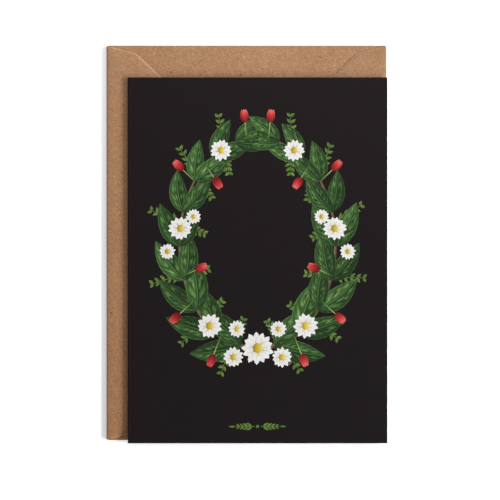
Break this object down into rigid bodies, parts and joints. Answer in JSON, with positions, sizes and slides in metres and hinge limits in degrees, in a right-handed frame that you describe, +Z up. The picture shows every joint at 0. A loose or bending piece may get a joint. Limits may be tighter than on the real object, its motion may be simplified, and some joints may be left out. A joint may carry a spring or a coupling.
{
  "type": "greeting card with envelope",
  "caption": "Folded portrait greeting card lying closed on its kraft envelope, whose back faces up. The card's front leaf opens on its spine fold.",
  "frame": {"origin": "on the table, under the middle of the box round the card and its envelope", "axes": "+X across the card from its spine to its open edge, +Y up along the spine, +Z up from the table to the card's printed front"},
  "size_m": [0.1138, 0.1612, 0.0029],
  "materials": {
    "kraft_paper": "matte",
    "printed_board": "matte"
  },
  "bodies": {
    "envelope_and_back_leaf": {"front_panel": "kraft_paper", "side_flap_top": "kraft_paper", "side_flap_bottom": "kraft_paper", "bottom_flap": "kraft_paper", "closing_flap": "kraft_paper", "crease_side_flap_top": "kraft_paper", "crease_side_flap_bottom": "kraft_paper", "crease_bottom_flap": "kraft_paper", "crease_closing_flap": "kraft_paper", "card_back_leaf": "printed_board"},
    "front_leaf": {"card_front_leaf": "printed_board"}
  },
  "joints": [
    {"name": "card_fold", "type": "hinge", "parent": "envelope_and_back_leaf", "child": "front_leaf", "pos_m": [-0.0476, -0.00655, 0.00239], "axis": [0, -1, 0], "range_deg": [0, 180]}
  ]
}
